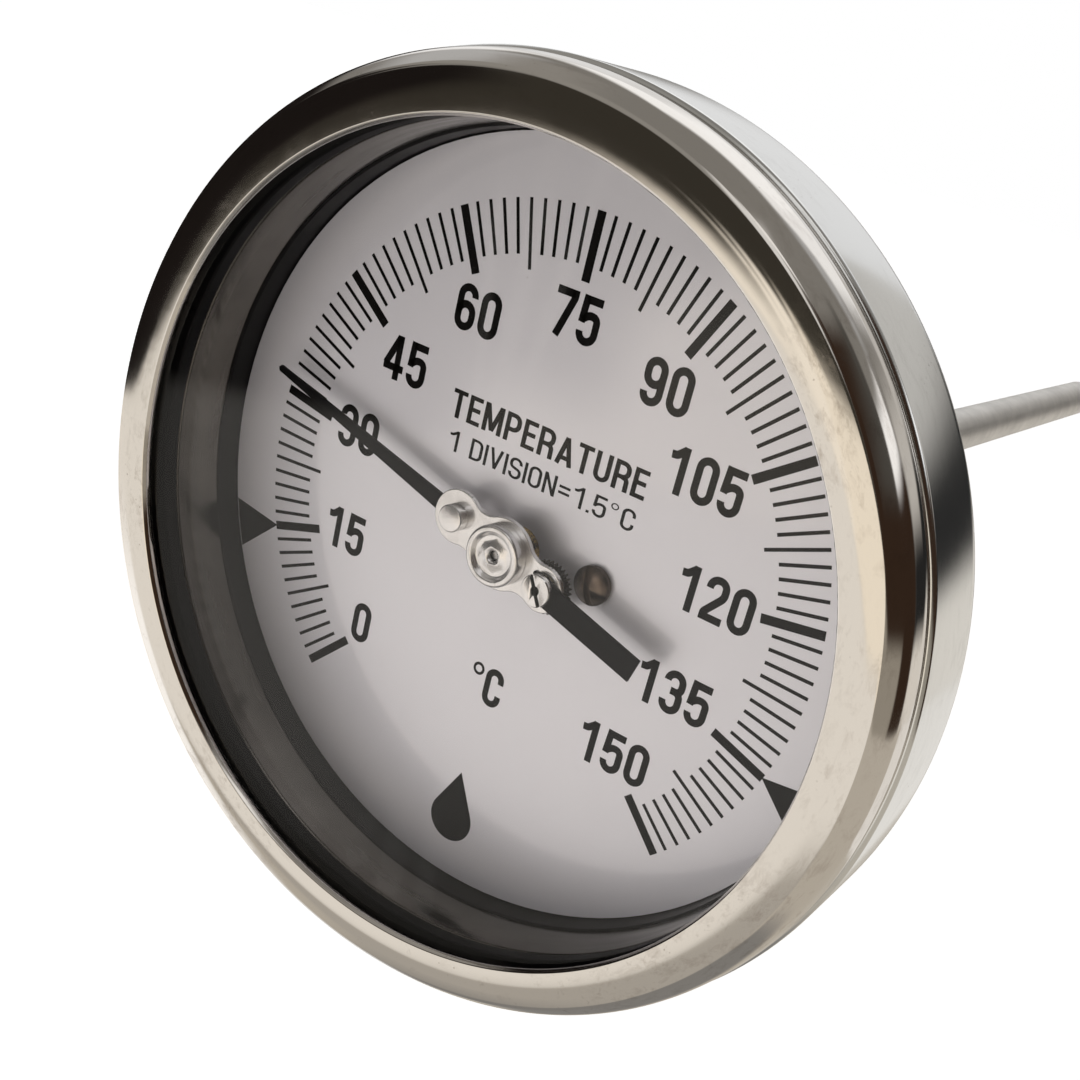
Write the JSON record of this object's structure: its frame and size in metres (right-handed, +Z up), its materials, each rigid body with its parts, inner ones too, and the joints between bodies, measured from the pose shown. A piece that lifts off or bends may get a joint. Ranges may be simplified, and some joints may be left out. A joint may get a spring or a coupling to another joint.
{
  "type": "dial thermometer",
  "caption": "Bimetal dial thermometer with a round steel case, glass window, adjustable black pointer and a long straight stem entering from the back.",
  "frame": {"origin": "on the stem's axis at the sealing shoulder where the connector's thread starts", "axes": "+Z up towards 12 o'clock on the dial, the dial faces -Y, +Y along the stem to its tip"},
  "size_m": [0.117, 0.3253, 0.117],
  "materials": {
    "case_steel": "polished stainless steel",
    "bezel_steel": "polished stainless steel, lightly scuffed",
    "window_glass": "clear flat glass",
    "gasket_rubber": "black, satin",
    "spacer_steel": "rolled, semi-bright",
    "black_plastic": "black, satin",
    "dial_face": "silver white, satin",
    "dial_print": "black ink, satin",
    "bronzed_steel": "browned, semi-bright",
    "bracket_steel": "plain",
    "connector_steel": "turned",
    "washer_fibre": "red fibre",
    "stem_steel": "drawn, dull",
    "bimetal": "rolled strip",
    "brass": "turned",
    "gear_steel": "cut, dark",
    "spindle_steel": "ground",
    "hub_bright": "bright white metal, pressed",
    "adjuster_steel": "bright",
    "pointer_black": "black, satin"
  },
  "bodies": {
    "housing": {"case_shell": "case_steel", "bezel_ring": "bezel_steel", "window_glass": "window_glass", "glass_gasket": "gasket_rubber", "window_spacer": "spacer_steel", "dial_ring": "black_plastic", "dial_plate": "dial_face", "dial_screw": "bronzed_steel", "dial_post": "bracket_steel", "dial_bracket": "bracket_steel", "hex_connector": "connector_steel", "sealing_washer": "washer_fibre", "case_nut": "connector_steel", "stem_tube": "stem_steel", "stem_tip": "stem_steel", "helix_anchor": "stem_steel", "bimetal_helix": "bimetal", "guide_bushes": "brass", "upper_bush": "brass"},
    "spindle": {"spindle": "spindle_steel", "hub_gear": "gear_steel", "retaining_clip": "spindle_steel", "helix_collar": "brass"},
    "pointer": {"pointer_carrier": "hub_bright", "hub_cap": "hub_bright", "blade_rivet": "hub_bright", "pointer_blade": "pointer_black", "pointer_tail": "pointer_black", "adjuster_bush": "brass", "spring_washer": "spindle_steel"},
    "adjuster": {"adjusting_screw": "adjuster_steel", "adjusting_pinion": "gear_steel"}
  },
  "joints": [
    {"name": "spindle_turn", "type": "hinge", "parent": "housing", "child": "spindle", "pos_m": [0, -0.02, 0], "axis": [0, 1, 0], "range_deg": [-60.1, 209.9], "stiffness_Nm_per_rad": 0.0044, "deforming": ["bimetal_helix"]},
    {"name": "pointer_adjust", "type": "hinge", "parent": "spindle", "child": "pointer", "pos_m": [0, -0.026, 0], "axis": [0, 1, 0], "continuous": true},
    {"name": "adjuster_turn", "type": "hinge", "parent": "pointer", "child": "adjuster", "pos_m": [0.00695, -0.0251, -0.00188], "axis": [0, 1, 0], "continuous": true}
  ],
  "couplings": [
    {"joint": "adjuster_turn", "follows": "pointer_adjust", "ratio": 1.1818}
  ]
}
